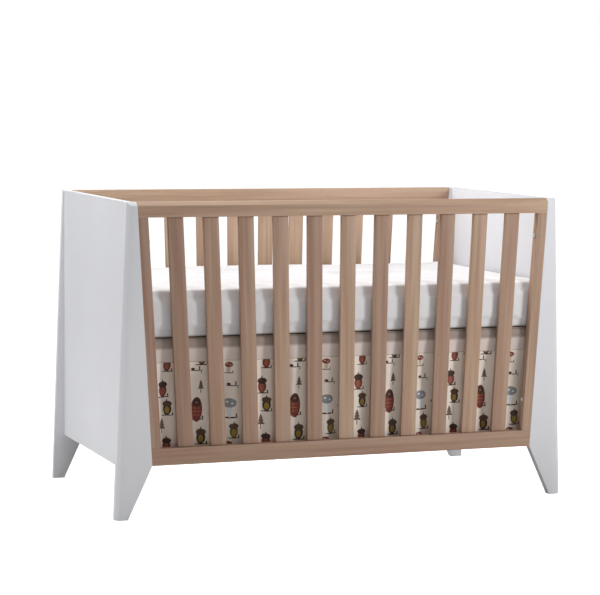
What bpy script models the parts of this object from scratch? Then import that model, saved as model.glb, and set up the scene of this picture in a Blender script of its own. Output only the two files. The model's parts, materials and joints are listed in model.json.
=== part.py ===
"""Baby crib: four white leg boards and two white end panels, two slatted oak sides, a strap-steel
mattress support that hangs on corner brackets, a fabric skirt and a mattress.

Metres, +Z up.  The origin is on the floor under the middle of the crib; the length runs along X and
the depth along Y.
"""

import bmesh
import bpy
from mathutils import Matrix, Vector

# ---------------------------------------------------------------- overall sizes
LENGTH = 1.435            # over the feet
DEPTH = 0.755             # front face to back face
HEIGHT = 0.920

# ---------------------------------------------------------------- white leg boards
BOARD_THICKNESS = 0.0265
BOARD_TOP_WIDTH = 0.0295
BOARD_KNEE_WIDTH = 0.105
BOARD_FOOT_WIDTH = 0.038
KNEE_HEIGHT = 0.155
LEG_SPREAD = 0.0335       # how far the outer edge leans out between the top and the floor
CHAMFER = 0.0115          # on the outer and top edges of the outward face

# ---------------------------------------------------------------- white end panels
PANEL_THICKNESS = 0.0175
PANEL_INSET = 0.0035      # outer face behind the boards' top corners
PANEL_BELOW_KNEE = 0.016  # the panel reaches a little lower than the sides

# ---------------------------------------------------------------- slatted sides
TOP_RAIL_HEIGHT = 0.0445
BOTTOM_RAIL_HEIGHT = 0.050
STILE_WIDTH = 0.0295
SLAT_WIDTH = 0.0475
SLAT_THICKNESS = 0.012
SLAT_COUNT = 11
SLAT_EASING = 0.0015      # small round on the slats' long edges
TENON_WIDTH = 0.030
TENON_DEPTH = 0.012
STILE_TENON_WIDTH = 0.016
MORTISE_CLEARANCE = 0.0004

# ---------------------------------------------------------------- side bolts
BOLT_RADIUS = 0.003
BOLT_LENGTH = 0.048       # under the head
BOLT_HEAD_RADIUS = 0.0062
BOLT_HEAD_HEIGHT = 0.0045
BOLT_HEAD_SUNK = 0.0015   # how deep the head's seat lies under the stile's edge
BOLT_CLEARANCE = 0.0004
HEX_RADIUS = 0.0024
HEX_DEPTH = 0.0026
BOLT_BELOW_TOP_RAIL = 0.0695
BOLT_ABOVE_BOTTOM_RAIL = 0.095

# ---------------------------------------------------------------- mattress, skirt and support
MATTRESS_END_GAP = 0.0070  # to each end panel
MATTRESS_SIDE_GAP = 0.0050  # to each slatted side
MATTRESS_THICKNESS = 0.142
MATTRESS_RADIUS = 0.030   # upright corners
MATTRESS_EDGE = 0.012     # rounded top and bottom edges
MATTRESS_BOTTOM = 0.521
DECK_THICKNESS = 0.0012
SKIRT_THICKNESS = 0.002
SKIRT_HEM_ABOVE_KNEE = 0.015
SKIRT_GAP = 0.004         # between the long drops and the sides' inner faces
SUPPORT_HEIGHT = 0.016
STEEL = 0.003
SUPPORT_END_GAP = 0.012   # support to end panel
SUPPORT_SIDE_GAP = 0.012  # support to the sides' inner faces
BORDER = 0.030
STRAP = 0.022
STRAPS_ACROSS = 9
STRAPS_ALONG = 4
BRACKET_WIDTH = 0.040
BRACKET_DROP = 0.045      # upright leg below the support
BRACKET_FOOT = 0.032
BRACKET_INSET = 0.030     # bracket's outer edge to the sides' inner faces
BRACKET_BOLT_DROP = 0.024
SUPPORT_POSITIONS = (0.0, -0.13, -0.26)
INSERT_DEPTH = 0.012
FIT = 0.0003              # clearance between touching pieces

# ---------------------------------------------------------------- worked-out places
TOP_HALF = LENGTH / 2 - LEG_SPREAD
INNER_TOP = TOP_HALF - BOARD_TOP_WIDTH
OUTER_KNEE = TOP_HALF + LEG_SPREAD * (HEIGHT - KNEE_HEIGHT) / HEIGHT
INNER_KNEE = OUTER_KNEE - BOARD_KNEE_WIDTH
LEAN = (INNER_TOP - INNER_KNEE) / (HEIGHT - KNEE_HEIGHT)
FRONT_FACE = DEPTH / 2
SIDE_INNER = FRONT_FACE - BOARD_THICKNESS
PANEL_OUTER = TOP_HALF - PANEL_INSET
PANEL_INNER = PANEL_OUTER - PANEL_THICKNESS
TOP_RAIL_BOTTOM = HEIGHT - TOP_RAIL_HEIGHT
BOTTOM_RAIL_TOP = KNEE_HEIGHT + BOTTOM_RAIL_HEIGHT
PANEL_BOTTOM = KNEE_HEIGHT - PANEL_BELOW_KNEE
SIDE_BOLT_HEIGHTS = {
    "bottom": BOTTOM_RAIL_TOP + BOLT_ABOVE_BOTTOM_RAIL,
    "top": TOP_RAIL_BOTTOM - BOLT_BELOW_TOP_RAIL,
}
MATTRESS_HALF_LENGTH = PANEL_INNER - MATTRESS_END_GAP
MATTRESS_HALF_DEPTH = SIDE_INNER - MATTRESS_SIDE_GAP
SKIRT_HEM = KNEE_HEIGHT + SKIRT_HEM_ABOVE_KNEE
SUPPORT_TOP = MATTRESS_BOTTOM - 2 * FIT - DECK_THICKNESS
SUPPORT_HALF_LENGTH = PANEL_INNER - SUPPORT_END_GAP
SUPPORT_HALF_DEPTH = SIDE_INNER - SUPPORT_SIDE_GAP
BRACKET_Y = SIDE_INNER - BRACKET_INSET - BRACKET_WIDTH / 2
BRACKET_BOTTOM = SUPPORT_TOP - SUPPORT_HEIGHT - BRACKET_DROP
BRACKET_BOLT_Z = SUPPORT_TOP - SUPPORT_HEIGHT - BRACKET_BOLT_DROP

ENDS = {"left": -1, "right": 1}
SIDES = {"front": -1, "back": 1}


# ---------------------------------------------------------------- scene, collections and materials
def clear_scene():
    for obj in list(bpy.data.objects):
        bpy.data.objects.remove(obj, do_unlink=True)


def new_collection(name):
    collection = bpy.data.collections.new(name)
    bpy.context.scene.collection.children.link(collection)
    return collection


def make_material(name, colour, roughness, metallic=0.0):
    material = bpy.data.materials.new(name)
    material.use_nodes = True
    shader = material.node_tree.nodes["Principled BSDF"]
    shader.inputs["Base Color"].default_value = (*colour, 1.0)
    shader.inputs["Roughness"].default_value = roughness
    shader.inputs["Metallic"].default_value = metallic
    return material


clear_scene()
PARTS = new_collection("baby_crib")
CUTTERS = new_collection("cutters")
WHITE = make_material("white_lacquer", (0.86, 0.86, 0.88), 0.35)
OAK = make_material("washed_oak", (0.50, 0.34, 0.23), 0.55)
STEEL_GREY = make_material("powder_coated_steel", (0.30, 0.30, 0.31), 0.50, 0.3)
BOLT_STEEL = make_material("zinc_plated_steel", (0.62, 0.61, 0.58), 0.35, 1.0)
COTTON_WHITE = make_material("white_cotton", (0.82, 0.82, 0.84), 0.90)
COTTON_PRINT = make_material("printed_cotton", (0.70, 0.60, 0.48), 0.90)


# ---------------------------------------------------------------- shape helpers
def link_mesh(name, bm, material, collection=PARTS):
    bmesh.ops.recalc_face_normals(bm, faces=bm.faces)
    mesh = bpy.data.meshes.new(name)
    bm.to_mesh(mesh)
    bm.free()
    obj = bpy.data.objects.new(name, mesh)
    collection.objects.link(obj)
    if material is not None:
        mesh.materials.append(material)
    if collection is CUTTERS:
        obj.hide_render = True
        obj.display_type = "WIRE"
    return obj


def prism_xz(outline, y_near, y_far):
    """A flat outline in X and Z, extruded from y_near to y_far."""
    bm = bmesh.new()
    face = bm.faces.new([bm.verts.new((x, y_near, z)) for x, z in outline])
    grown = bmesh.ops.extrude_face_region(bm, geom=[face])
    moved = [item for item in grown["geom"] if isinstance(item, bmesh.types.BMVert)]
    bmesh.ops.translate(bm, verts=moved, vec=(0.0, y_far - y_near, 0.0))
    return bm


def box(low, high):
    size = Vector(high) - Vector(low)
    middle = (Vector(high) + Vector(low)) / 2
    bm = bmesh.new()
    matrix = Matrix.Translation(middle) @ Matrix.Diagonal((*size, 1.0))
    bmesh.ops.create_cube(bm, size=1.0, matrix=matrix)
    return bm


def add_box(bm, low, high):
    """Adds one more box to a mesh that holds several separate cutters."""
    size = Vector(high) - Vector(low)
    middle = (Vector(high) + Vector(low)) / 2
    matrix = Matrix.Translation(middle) @ Matrix.Diagonal((*size, 1.0))
    bmesh.ops.create_cube(bm, size=1.0, matrix=matrix)


def add_rod(bm, start, direction, length, radius, sides=16):
    """Adds a round rod that starts at start and runs along direction."""
    turn = Vector((0.0, 0.0, 1.0)).rotation_difference(Vector(direction)).to_matrix().to_4x4()
    matrix = Matrix.Translation(start) @ turn @ Matrix.Translation((0.0, 0.0, length / 2))
    bmesh.ops.create_cone(bm, cap_ends=True, segments=sides, radius1=radius, radius2=radius,
                          depth=length, matrix=matrix)


def bevel_edges(bm, wanted, width, segments=1):
    edges = [edge for edge in bm.edges if wanted(edge)]
    bmesh.ops.bevel(bm, geom=edges, offset=width, segments=segments, profile=0.5,
                    affect="EDGES", clamp_overlap=True)


def cut(obj, cutter, operation="DIFFERENCE"):
    modifier = obj.modifiers.new(cutter.name, "BOOLEAN")
    modifier.operation = operation
    modifier.solver = "EXACT"
    modifier.object = cutter


def inner_edge(z):
    """Half the distance between the leg boards' inner edges at height z."""
    return INNER_KNEE + LEAN * (z - KNEE_HEIGHT)


def outer_edge(z):
    return TOP_HALF + LEG_SPREAD * (HEIGHT - z) / HEIGHT


def side_line(end, z):
    """Where a side's end meets the leg board's inner edge."""
    return end * (inner_edge(z) - FIT)


def stile_edge(end, z):
    return end * (inner_edge(z) - FIT - STILE_WIDTH)


def slat_centre(index, z):
    """The slats stand evenly between the stiles at every height, so they fan out upwards."""
    clear = 2 * abs(stile_edge(1, z))
    gap = (clear - SLAT_COUNT * SLAT_WIDTH) / (SLAT_COUNT + 1)
    return -clear / 2 + gap + SLAT_WIDTH / 2 + index * (SLAT_WIDTH + gap)


# ---------------------------------------------------------------- side bolts, and the holes they need
def bolt_line(end, height):
    """The bolt's seat on the stile's inner edge, and its direction into the leg board."""
    direction = Vector((end, 0.0, -LEAN)).normalized()
    return Vector((stile_edge(end, height), 0.0, height)), direction


def side_bolt(name, end, side, height):
    seat, direction = bolt_line(end, height)
    seat.y = side * (FRONT_FACE - BOARD_THICKNESS / 2)
    head_base = seat + direction * (BOLT_HEAD_SUNK - FIT)
    bm = bmesh.new()
    add_rod(bm, head_base, -direction, BOLT_HEAD_HEIGHT, BOLT_HEAD_RADIUS)
    head = link_mesh(name, bm, BOLT_STEEL)
    shank_bm = bmesh.new()
    add_rod(shank_bm, head_base - direction * BOLT_HEAD_HEIGHT / 2, direction,
            BOLT_LENGTH + BOLT_HEAD_HEIGHT / 2, BOLT_RADIUS)
    cut(head, link_mesh(name + "_shank", shank_bm, None, CUTTERS), "UNION")
    hex_bm = bmesh.new()
    add_rod(hex_bm, head_base - direction * (BOLT_HEAD_HEIGHT - HEX_DEPTH), -direction,
            2 * HEX_DEPTH, HEX_RADIUS, sides=6)
    cut(head, link_mesh(name + "_hex", hex_bm, None, CUTTERS))
    return head


def bolt_hole_cutter(name, end, side):
    """Clearance holes and head seats for the two bolts at one corner."""
    bm = bmesh.new()
    for height in SIDE_BOLT_HEIGHTS.values():
        seat, direction = bolt_line(end, height)
        seat.y = side * (FRONT_FACE - BOARD_THICKNESS / 2)
        add_rod(bm, seat + direction * (BOLT_HEAD_SUNK / 2), direction,
                BOLT_LENGTH + BOLT_HEAD_SUNK, BOLT_RADIUS + BOLT_CLEARANCE)
    holes = link_mesh(name + "_holes", bm, None, CUTTERS)
    seat_bm = bmesh.new()
    for height in SIDE_BOLT_HEIGHTS.values():
        seat, direction = bolt_line(end, height)
        seat.y = side * (FRONT_FACE - BOARD_THICKNESS / 2)
        add_rod(seat_bm, seat + direction * BOLT_HEAD_SUNK, -direction,
                3 * BOLT_HEAD_SUNK, BOLT_HEAD_RADIUS + BOLT_CLEARANCE)
    seats = link_mesh(name + "_seats", seat_bm, None, CUTTERS)
    return holes, seats


# ---------------------------------------------------------------- white leg boards
def leg_board(name, end, side):
    outline = [
        (end * inner_edge(HEIGHT), HEIGHT),
        (end * outer_edge(HEIGHT), HEIGHT),
        (end * outer_edge(0.0), 0.0),
        (end * (outer_edge(0.0) - BOARD_FOOT_WIDTH), 0.0),
        (end * INNER_KNEE, KNEE_HEIGHT),
    ]
    bm = prism_xz(outline, side * FRONT_FACE, side * SIDE_INNER)

    def on_outward_face(edge):
        if any(abs(vert.co.y - side * FRONT_FACE) > 1e-5 for vert in edge.verts):
            return False
        top = all(vert.co.z > HEIGHT - 1e-5 for vert in edge.verts)
        outer = all(abs(abs(vert.co.x) - outer_edge(vert.co.z)) < 1e-5 for vert in edge.verts)
        return top or outer

    bevel_edges(bm, on_outward_face, CHAMFER)
    return link_mesh(name, bm, WHITE)


# ---------------------------------------------------------------- white end panels
def end_panel(name, end):
    reach = SIDE_INNER - FIT
    low = (min(end * PANEL_OUTER, end * PANEL_INNER), -reach, PANEL_BOTTOM)
    high = (max(end * PANEL_OUTER, end * PANEL_INNER), reach, HEIGHT)
    panel = link_mesh(name, box(low, high), WHITE)
    bm = bmesh.new()
    for side in SIDES.values():
        for drop in SUPPORT_POSITIONS:
            mouth = Vector((end * (PANEL_INNER - 0.001), side * BRACKET_Y, BRACKET_BOLT_Z + drop))
            add_rod(bm, mouth, (end, 0.0, 0.0), INSERT_DEPTH + 0.001, BOLT_RADIUS + BOLT_CLEARANCE)
    cut(panel, link_mesh(name + "_insert_holes", bm, None, CUTTERS))
    return panel


# ---------------------------------------------------------------- oak rails, stiles and slats
def rail(name, side, bottom, top, chamfered):
    outline = [
        (side_line(-1, bottom), bottom),
        (side_line(1, bottom), bottom),
        (side_line(1, top), top),
        (side_line(-1, top), top),
    ]
    bm = prism_xz(outline, side * FRONT_FACE, side * SIDE_INNER)

    def top_outward(edge):
        return all(vert.co.z > top - 1e-5 and abs(vert.co.y - side * FRONT_FACE) < 1e-5
                   for vert in edge.verts)

    if chamfered:
        bevel_edges(bm, top_outward, CHAMFER)
    return link_mesh(name, bm, OAK)


def mortises(name, side, edge_z, depth_sign):
    """One mortise for each slat and stile tenon, in the rail face at edge_z."""
    bm = bmesh.new()
    middle = side * (FRONT_FACE - BOARD_THICKNESS / 2)
    half_y = SLAT_THICKNESS / 2 + MORTISE_CLEARANCE
    z_out = edge_z - depth_sign * 0.001
    z_in = edge_z + depth_sign * (TENON_DEPTH + MORTISE_CLEARANCE)
    places = [(slat_centre(index, edge_z), TENON_WIDTH) for index in range(SLAT_COUNT)]
    places += [(end * stile_middle(edge_z), STILE_TENON_WIDTH) for end in ENDS.values()]
    for centre, width in places:
        half_x = width / 2 + MORTISE_CLEARANCE
        add_box(bm, (centre - half_x, middle - half_y, min(z_out, z_in)),
                (centre + half_x, middle + half_y, max(z_out, z_in)))
    return link_mesh(name, bm, None, CUTTERS)


def stile_middle(z):
    return inner_edge(z) - FIT - STILE_WIDTH / 2


def tenoned_outline(left_edge, right_edge, tenon_centre, tenon_width):
    """A leaning bar between the rails with a straight tenon at each end."""
    low = BOTTOM_RAIL_TOP + FIT
    high = TOP_RAIL_BOTTOM - FIT
    outline = []
    for z, tip, order in ((low, low - TENON_DEPTH, 1), (high, high + TENON_DEPTH, -1)):
        middle = tenon_centre(z)
        row = [
            (left_edge(z), z),
            (middle - tenon_width / 2, z),
            (middle - tenon_width / 2, tip),
            (middle + tenon_width / 2, tip),
            (middle + tenon_width / 2, z),
            (right_edge(z), z),
        ]
        outline += row[::order]
    return outline


def slat(name, side, index):
    outline = tenoned_outline(
        lambda z: slat_centre(index, z) - SLAT_WIDTH / 2,
        lambda z: slat_centre(index, z) + SLAT_WIDTH / 2,
        lambda z: slat_centre(index, z),
        TENON_WIDTH,
    )
    middle = side * (FRONT_FACE - BOARD_THICKNESS / 2)
    bm = prism_xz(outline, middle - SLAT_THICKNESS / 2, middle + SLAT_THICKNESS / 2)
    bevel_edges(bm, lambda edge: edge.calc_length() > 0.4, SLAT_EASING, segments=2)
    return link_mesh(name, bm, OAK)


def stile(name, end, side):
    """The body is as thick as the rails; its tenons are as thick as the slats'."""
    low = BOTTOM_RAIL_TOP + FIT
    high = TOP_RAIL_BOTTOM - FIT
    body = [
        (stile_edge(end, low), low),
        (side_line(end, low), low),
        (side_line(end, high), high),
        (stile_edge(end, high), high),
    ]
    post = link_mesh(name, prism_xz(body, side * FRONT_FACE, side * SIDE_INNER), OAK)
    middle_y = side * (FRONT_FACE - BOARD_THICKNESS / 2)
    tenon_bm = bmesh.new()
    for z, tip in ((low, low - TENON_DEPTH), (high, high + TENON_DEPTH)):
        centre = end * stile_middle(z)
        inside = z + (z - tip) * 0.5
        add_box(tenon_bm,
                (centre - STILE_TENON_WIDTH / 2, middle_y - SLAT_THICKNESS / 2, min(inside, tip)),
                (centre + STILE_TENON_WIDTH / 2, middle_y + SLAT_THICKNESS / 2, max(inside, tip)))
    cut(post, link_mesh(name + "_tenons", tenon_bm, None, CUTTERS), "UNION")
    return post


def slatted_side(side_name, side):
    top_rail = rail("top_rail_" + side_name, side, TOP_RAIL_BOTTOM, HEIGHT, True)
    bottom_rail = rail("bottom_rail_" + side_name, side, KNEE_HEIGHT, BOTTOM_RAIL_TOP, False)
    cut(top_rail, mortises("top_mortises_" + side_name, side, TOP_RAIL_BOTTOM, 1))
    cut(bottom_rail, mortises("bottom_mortises_" + side_name, side, BOTTOM_RAIL_TOP, -1))
    for index in range(SLAT_COUNT):
        slat(f"slat_{side_name}_{index + 1:02d}", side, index)


def corner(end_name, end, side_name, side):
    where = side_name + "_" + end_name
    board = leg_board("leg_board_" + where, end, side)
    post = stile("stile_" + where, end, side)
    holes, seats = bolt_hole_cutter("bolt_" + where, end, side)
    cut(board, holes)
    cut(post, holes)
    cut(post, seats)
    for level, height in SIDE_BOLT_HEIGHTS.items():
        side_bolt(f"side_bolt_{where}_{level}", end, side, height)


# ---------------------------------------------------------------- mattress support
def support_frame():
    low = (-SUPPORT_HALF_LENGTH, -SUPPORT_HALF_DEPTH, SUPPORT_TOP - SUPPORT_HEIGHT)
    high = (SUPPORT_HALF_LENGTH, SUPPORT_HALF_DEPTH, SUPPORT_TOP)
    frame = link_mesh("mattress_support_frame", box(low, high), STEEL_GREY)
    under = box((low[0] + STEEL, low[1] + STEEL, low[2] - STEEL),
                (high[0] - STEEL, high[1] - STEEL, high[2] - STEEL))
    cut(frame, link_mesh("support_underside", under, None, CUTTERS))
    windows = bmesh.new()
    width = (2 * (SUPPORT_HALF_LENGTH - BORDER) - STRAPS_ACROSS * STRAP) / (STRAPS_ACROSS + 1)
    depth = (2 * (SUPPORT_HALF_DEPTH - BORDER) - STRAPS_ALONG * STRAP) / (STRAPS_ALONG + 1)
    for column in range(STRAPS_ACROSS + 1):
        x = -SUPPORT_HALF_LENGTH + BORDER + column * (width + STRAP)
        for line in range(STRAPS_ALONG + 1):
            y = -SUPPORT_HALF_DEPTH + BORDER + line * (depth + STRAP)
            add_box(windows, (x, y, SUPPORT_TOP - 2 * STEEL), (x + width, y + depth, SUPPORT_TOP + STEEL))
    cut(frame, link_mesh("support_windows", windows, None, CUTTERS))


def support_bracket(where, end, side):
    """Upright leg against the end panel, with a foot that the support frame rests on."""
    outer = PANEL_INNER - FIT
    foot_top = SUPPORT_TOP - SUPPORT_HEIGHT - FIT
    y_low = side * BRACKET_Y - BRACKET_WIDTH / 2
    y_high = side * BRACKET_Y + BRACKET_WIDTH / 2
    profile = [
        (end * outer, BRACKET_BOTTOM),
        (end * outer, SUPPORT_TOP),
        (end * (outer - STEEL), SUPPORT_TOP),
        (end * (outer - STEEL), foot_top),
        (end * (outer - BRACKET_FOOT), foot_top),
        (end * (outer - BRACKET_FOOT), foot_top - STEEL),
        (end * (outer - STEEL), foot_top - STEEL),
        (end * (outer - STEEL), BRACKET_BOTTOM),
    ]
    bracket = link_mesh("support_bracket_" + where, prism_xz(profile, y_low, y_high), STEEL_GREY)
    hole = bmesh.new()
    add_rod(hole, Vector((end * (outer - 2 * STEEL), side * BRACKET_Y, BRACKET_BOLT_Z)),
            (end, 0.0, 0.0), 3 * STEEL, BOLT_RADIUS + BOLT_CLEARANCE)
    cut(bracket, link_mesh("bracket_hole_" + where, hole, None, CUTTERS))


def support_bolt(where, end, side):
    """Thumb bolt whose shank fills the bracket's hole and ends at the panel's face."""
    inner = PANEL_INNER - FIT - STEEL - FIT
    base = Vector((end * inner, side * BRACKET_Y, BRACKET_BOLT_Z))
    bm = bmesh.new()
    add_rod(bm, base, (-end, 0.0, 0.0), BOLT_HEAD_HEIGHT, BOLT_HEAD_RADIUS)
    head = link_mesh("support_bolt_" + where, bm, BOLT_STEEL)
    shank = bmesh.new()
    add_rod(shank, base - Vector((end * BOLT_HEAD_HEIGHT / 2, 0.0, 0.0)), (end, 0.0, 0.0),
            BOLT_HEAD_HEIGHT / 2 + STEEL + FIT, BOLT_RADIUS)
    cut(head, link_mesh("support_bolt_shank_" + where, shank, None, CUTTERS), "UNION")
    hex_bm = bmesh.new()
    add_rod(hex_bm, base - Vector((end * (BOLT_HEAD_HEIGHT - HEX_DEPTH), 0.0, 0.0)),
            (-end, 0.0, 0.0), 2 * HEX_DEPTH, HEX_RADIUS, sides=6)
    cut(head, link_mesh("support_bolt_hex_" + where, hex_bm, None, CUTTERS))


# ---------------------------------------------------------------- skirt and mattress
def skirt():
    deck_low = SUPPORT_TOP + FIT
    deck_half_depth = SIDE_INNER - SKIRT_GAP
    link_mesh("skirt_deck", box((-SUPPORT_HALF_LENGTH, -deck_half_depth, deck_low),
                                (SUPPORT_HALF_LENGTH, deck_half_depth, deck_low + DECK_THICKNESS)),
              COTTON_WHITE)
    drop_top = deck_low - FIT
    for side_name, side in SIDES.items():
        faces = (side * deck_half_depth, side * (deck_half_depth - SKIRT_THICKNESS))
        link_mesh("skirt_drop_" + side_name,
                  box((-SUPPORT_HALF_LENGTH, min(faces), SKIRT_HEM),
                      (SUPPORT_HALF_LENGTH, max(faces), drop_top)), COTTON_PRINT)
    end_reach = BRACKET_Y - BRACKET_WIDTH / 2 - SKIRT_GAP
    for end_name, end in ENDS.items():
        middle = end * (SUPPORT_HALF_LENGTH + SUPPORT_END_GAP / 2)
        link_mesh("skirt_drop_" + end_name,
                  box((middle - SKIRT_THICKNESS / 2, -end_reach, SKIRT_HEM),
                      (middle + SKIRT_THICKNESS / 2, end_reach, drop_top)), COTTON_PRINT)


def mattress():
    low = (-MATTRESS_HALF_LENGTH, -MATTRESS_HALF_DEPTH, MATTRESS_BOTTOM)
    high = (MATTRESS_HALF_LENGTH, MATTRESS_HALF_DEPTH, MATTRESS_BOTTOM + MATTRESS_THICKNESS)
    bm = box(low, high)

    def upright(edge):
        return abs(edge.verts[0].co.z - edge.verts[1].co.z) > MATTRESS_THICKNESS / 2

    bevel_edges(bm, upright, MATTRESS_RADIUS, segments=4)

    def rim(edge):
        heights = [vert.co.z for vert in edge.verts]
        return abs(heights[0] - heights[1]) < 1e-6 and len(edge.link_faces) == 2

    bevel_edges(bm, rim, MATTRESS_EDGE, segments=2)
    link_mesh("mattress", bm, COTTON_WHITE)


# ---------------------------------------------------------------- assembly
for side_name, side in SIDES.items():
    slatted_side(side_name, side)
for end_name, end in ENDS.items():
    end_panel("end_panel_" + end_name, end)
    for side_name, side in SIDES.items():
        corner(end_name, end, side_name, side)
        support_bracket(side_name + "_" + end_name, end, side)
        support_bolt(side_name + "_" + end_name, end, side)
support_frame()
skirt()
mattress()
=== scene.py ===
# %% [markdown]
# # A baby crib in white lacquer and washed oak
# The crib stands on four white leg boards that widen to a knee and taper to a foot.
# Two oak side frames of rails and leaning slats are bolted between them, and a white panel closes
# each end. Inside, a steel support carries the mattress, and a printed skirt hangs from it.
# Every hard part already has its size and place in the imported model, so this lesson gives each one
# eased edges and a finish, and makes the soft parts, the light and the camera.

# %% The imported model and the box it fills
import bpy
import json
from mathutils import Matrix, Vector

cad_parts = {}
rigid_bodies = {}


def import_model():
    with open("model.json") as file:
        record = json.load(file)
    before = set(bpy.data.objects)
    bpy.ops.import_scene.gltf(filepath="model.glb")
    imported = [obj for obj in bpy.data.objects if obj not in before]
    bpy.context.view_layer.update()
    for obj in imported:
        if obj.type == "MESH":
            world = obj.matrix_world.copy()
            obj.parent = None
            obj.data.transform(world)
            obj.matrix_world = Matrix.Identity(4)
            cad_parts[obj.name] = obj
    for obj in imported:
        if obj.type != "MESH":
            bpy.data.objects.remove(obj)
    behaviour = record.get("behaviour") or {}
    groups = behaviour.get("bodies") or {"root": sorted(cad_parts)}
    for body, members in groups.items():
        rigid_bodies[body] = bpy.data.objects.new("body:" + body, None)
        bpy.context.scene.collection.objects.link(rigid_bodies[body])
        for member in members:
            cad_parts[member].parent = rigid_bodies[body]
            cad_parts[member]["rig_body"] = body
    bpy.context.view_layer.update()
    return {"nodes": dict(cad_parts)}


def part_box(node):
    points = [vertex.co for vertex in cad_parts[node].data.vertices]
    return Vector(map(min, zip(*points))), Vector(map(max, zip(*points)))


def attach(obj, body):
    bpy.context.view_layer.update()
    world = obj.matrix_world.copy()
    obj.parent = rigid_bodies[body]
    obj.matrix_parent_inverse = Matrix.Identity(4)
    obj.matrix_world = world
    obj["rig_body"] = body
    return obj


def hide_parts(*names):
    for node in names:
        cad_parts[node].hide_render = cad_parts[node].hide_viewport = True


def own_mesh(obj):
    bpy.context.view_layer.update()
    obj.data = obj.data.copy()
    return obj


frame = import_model()

# %% Modules, and two small helpers for selecting
import json
import math
import random

import bpy
import numpy as np
from mathutils import Matrix, Vector

MM = 0.001


def only(piece):
    """Leaves just this piece selected and active."""
    bpy.ops.object.select_all(action="DESELECT")
    piece.select_set(True)
    bpy.context.view_layer.objects.active = piece
    return piece


def apply_all(piece):
    """Applies the modifiers of the piece, from the first to the last."""
    only(piece)
    for modifier in list(piece.modifiers):
        bpy.ops.object.modifier_apply(modifier=modifier.name)
    return piece


def points_of(piece):
    """The places of the piece's vertices, one row each."""
    places = np.zeros(len(piece.data.vertices) * 3)
    piece.data.vertices.foreach_get("co", places)
    return places.reshape(-1, 3)


def move_points(piece, places):
    """Puts the piece's vertices at new places."""
    piece.data.vertices.foreach_set("co", np.ascontiguousarray(places, dtype=float).ravel())
    piece.data.update()


# %% [markdown]
# ## The camera
# A low three-quarter view from the left of the front, far enough away that the slats stay nearly
# parallel. It could be aimed with a Track To constraint, but three turns set one after another
# give the small roll of a hand-held camera too, and leave nothing live on the object.

# %% A long lens, 7 m away and a little above the top rail
CAMERA_PLACE = (-2.412, -6.354, 1.2525)
CAMERA_YAW = -0.3610
CAMERA_PITCH = -0.0964
CAMERA_ROLL = 0.0103
SENSOR_MM = 36
LENS_MM = 130.72
camera = bpy.data.objects.new("camera", bpy.data.cameras.new("camera"))
bpy.context.scene.collection.objects.link(camera)
camera.matrix_world = (
    Matrix.Translation(CAMERA_PLACE)
    @ Matrix.Rotation(CAMERA_YAW, 4, "Z")
    @ Matrix.Rotation(math.pi / 2 + CAMERA_PITCH, 4, "X")
    @ Matrix.Rotation(CAMERA_ROLL, 4, "Z")
)
camera.data.sensor_width = SENSOR_MM
camera.data.lens = LENS_MM
bpy.context.scene.camera = camera
print("camera at", [round(c, 3) for c in camera.location])

# %% [markdown]
# ## Building materials from nodes
# Each finish below is a small tree of nodes. Colours are written as sRGB hex, because that is how
# they are picked, and one function turns them linear. Another adds a node, with its settings and
# its links in one line, so that a tree reads from top to bottom.

# %% One function for colour, one for nodes, one to start a finish
def paint(code):
    """A colour written as sRGB hex, as linear red, green, blue and alpha."""
    parts = [int(code[i:i + 2], 16) / 255 for i in (1, 3, 5)]
    return [c / 12.92 if c <= 0.04045 else ((c + 0.055) / 1.055) ** 2.4 for c in parts] + [1.0]


def add(tree, kind, settings=None, links=None):
    """Adds a node, sets its inputs or its own options, and links its inputs."""
    node = tree.nodes.new("ShaderNode" + kind)
    for key, value in (settings or {}).items():
        if isinstance(key, int) or key in node.inputs:
            node.inputs[key].default_value = value
        else:
            setattr(node, key, value)
    for key, source in (links or {}).items():
        tree.links.new(source, node.inputs[key])
    return node


def start_finish(name, **settings):
    """A new material with its tree and its Principled shader, set as named."""
    material = bpy.data.materials.new(name)
    material.use_nodes = True
    shader = material.node_tree.nodes["Principled BSDF"]
    for key, value in settings.items():
        shader.inputs[key.replace("_", " ")].default_value = value
    return material, material.node_tree, shader


# %% [markdown]
# ## Washed oak
# The rails and slats are solid oak, stained with a thin greyish wash and sealed with a matt
# lacquer. The eye sees a warm taupe with straight bands, some rosy and some tan, short dark pores,
# and hardly any shine. Darker boards are rosier. The bands run along each board, so they can't follow
# the object's own axes on a slat that leans: every board stores its own coordinates in an attribute.
# Where a slat enters a rail its last few millimetres are darkened: painted shade for the shadow at the
# joint. The pores are drawn a little wider than real ones, so that they show.

# %% The oak finish: bands of tone, fine streaks and pores along the board
WASH_DARK = "#8f725d"
WASH_LIGHT = "#c3ab96"
WASH_TAN = "#b29a7f"
WASH_ROSE = "#ab806d"
BAND_WIDTH, BAND_LENGTH = 15 * MM, 520 * MM
STREAK_WIDTH, STREAK_LENGTH = 3.4 * MM, 230 * MM
PORE_WIDTH, PORE_LENGTH = 0.8 * MM, 13 * MM
JOINT_SHADE = 4 * MM


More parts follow.
